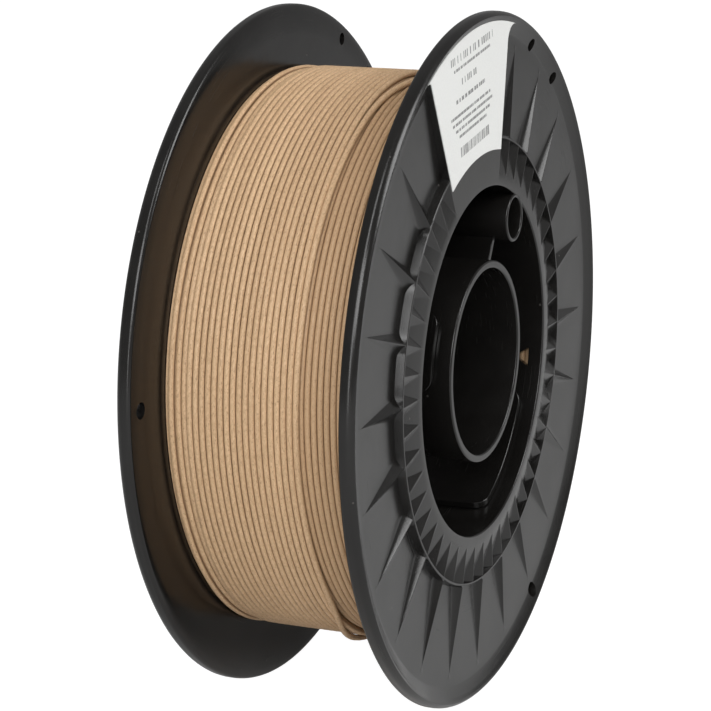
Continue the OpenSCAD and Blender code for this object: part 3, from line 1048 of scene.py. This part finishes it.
def filledStrand(axis):
    # tan filament with streaks and specks along it, and painted shade in the grooves between the turns
    group, w, out = newGroup("filledStrand", [("Colour", "Color"), ("Gloss", "Float"), ("Grain", "Float")])
    place, outwards = w.add("Group", node_tree=axis).outputs
    band = strandFinish["band"]
    streak = w.cloud(w.stretched(place, *strandFinish["streaks"]), 1.0, 3.0, 0.6)
    batch = w.cloud(w.stretched(place, *strandFinish["batches"]), 1.0)
    spots = w.cloud(w.stretched(place, *strandFinish["specks"]), 1.0, 1.0)
    speck = w.math("MULTIPLY", w.band(spots, *strandFinish["speckBand"]), strandFinish["speckShare"])
    share = w.math("ADD", w.band(streak, *band, 0.0, strandFinish["streakShare"]),
                   w.band(batch, *band, 0.0, strandFinish["batchShare"]))
    colour = w.blend(w.math("MINIMUM", share, 1.0), strandFinish["light"], strandFinish["dark"])
    split = w.add("SeparateXYZ")
    w.feed(split, Vector=place)
    radius = split.outputs[1]
    # painted shade: strands below the outer layer's crest are darkened, and the first turns by the barrel are
    # left out
    low, high, first = strandFinish["lowerShadeFrom"]
    lowerShade = w.math("MULTIPLY", w.band(radius, low, high, strandFinish["lowerShadeShare"], 0.0),
                  w.math("GREATER_THAN", radius, first))
    colour = w.blend(lowerShade, colour, strandFinish["lowerShade"])
    colour = w.blend(speck, colour, strandFinish["speck"])
    bare = w.add("Attribute", attribute_name="bare").outputs["Fac"]
    # painted shade: sides that face along the axis, into the grooves between the turns, are darkened
    shade = w.band(outwards, *strandFinish["grooveShadeFrom"], strandFinish["grooveShadeShare"], 0.0)
    depth = w.math("MULTIPLY", shade, w.band(bare, 0.0, 1.0, 1.0, strandFinish["bareGrooveShade"]))
    colour = w.blend(depth, colour, strandFinish["grooveShade"])
    w.feed(out, Colour=colour, Gloss=w.band(streak, *band, *strandFinish["gloss"]), Grain=streak)
    return group


def labelSkin():
    # two close tones in fine spots, on a slightly rippled film; the film and the ink give it their own
    group, w, out = newGroup("labelSkin", [("Colour", "Color"), ("Gloss", "Float"), ("Ripple", "Float")],
                             [("First", "Color"), ("Second", "Color"), ("Smooth", "Float"), ("Dull", "Float")])
    given = group.nodes.new("NodeGroupInput").outputs
    at = w.add("TexCoord").outputs["Object"]
    ripple = w.cloud(at, film["ripple"])
    fine = w.cloud(at, film["fine"], 2.0, 0.7)
    share = w.math("MULTIPLY", w.band(fine, *film["fineBand"]),
                   w.band(ripple, *film["rippleBand"], *film["rippleShare"]))
    w.feed(out, Colour=w.blend(share, given["First"], given["Second"]), Ripple=ripple,
           Gloss=w.band(fine, *film["glossBand"], given["Smooth"], given["Dull"]))
    return group


def newPaint(name, skin, bumps, given=(), **plain):
    # bumps: which outputs raise the surface, with their depth in metres; given: the group's own values
    paint = bpy.data.materials.new(name)
    paint.use_nodes = True
    w = Wiring(paint.node_tree)
    group = w.add("Group", node_tree=skin)
    w.feed(group, **dict(given))
    normal = None
    for output, depth in bumps:
        bump = w.add("Bump")
        w.feed(bump, Height=group.outputs[output], Distance=depth, Strength=1.0)
        if normal:
            w.links.new(normal, bump.inputs["Normal"])
        normal = bump.outputs[0]
    w.feed(w.nodes["Principled BSDF"], Base_Color=group.outputs["Colour"], Roughness=group.outputs["Gloss"],
           Normal=normal, **plain)
    return paint


def printedPaint(name, skin, first, second, gloss):
    values = {"First": first, "Second": second, "Smooth": gloss[0], "Dull": gloss[1]}
    return newPaint(name, skin, [("Ripple", film["rippleDepth"])], values)


axisGroup = roundTheAxis()
spoolPlastic = newPaint("spoolPlastic", mouldedSkin(axisGroup),
                        [("Flow", plastic["flowDepth"]), ("Grain", plastic["grainDepth"])],
                        IOR=plastic["refraction"])
filament = newPaint("filament", filledStrand(axisGroup), [("Grain", strandFinish["grainDepth"])])
labelGroup = labelSkin()
labelWhite = printedPaint("labelFilm", labelGroup, film["colour"], film["shade"], film["gloss"])
labelInk = printedPaint("labelInk", labelGroup, film["ink"], film["inkThin"], film["inkGloss"])
print("finishes mixed")


# putting it together

finish = {
    "crease": 24,  # degrees between faces, past which an edge is sharp
    "strandCrease": 60,
    "flatWeight": 80,
}
facing = Matrix.Rotation(math.radians(90), 4, "X") @ Matrix.Scale(mm, 4)
flip = Matrix.Rotation(math.radians(180), 4, polar(1, driver["at"]).xzy)  # about the driver tube's own spoke


def placed(bm, name, crease=finish["crease"]):
    mesh = toMesh(bm, name)
    mesh.transform(facing)
    mesh.shade_smooth()
    mesh.set_sharp_from_angle(angle=math.radians(crease))
    return mesh


def addWound(name, bm, replaced=()):
    addPiece(name, placed(bm, name, finish["strandCrease"]), filament, replaced)


half = placed(mouldedHalf(), "mouldedHalf")
for name, place in (("label_side_half", Matrix()), ("plain_side_half", flip)):
    mesh = half.copy()
    mesh.transform(place)
    piece = addPiece(name[:5] + "SideMoulding", mesh, spoolPlastic, [name])
    weighted = piece.modifiers.new("flatFaces", "WEIGHTED_NORMAL")
    weighted.keep_sharp = True
    weighted.weight = finish["flatWeight"]
addWound("outerTurns", outerStrand(), ["filament_outer_layer"])
addWound("lowerTurns", addTo(
    layer(winding["lowerR"], winding["lowerTurns"], winding["steps"], winding["lowerAt"]),
    layer(winding["firstR"], winding["firstTurns"], winding["steps"] // 2, winding["firstAt"])))
addWound("windingCore", windingCore(), ["filament_inner_layers"])
addPiece("labelFilm", placed(labelFilm(), "labelFilm"), labelWhite, ["label"])
addPiece("labelPrint", placed(labelPrint(), "labelPrint"), labelInk)
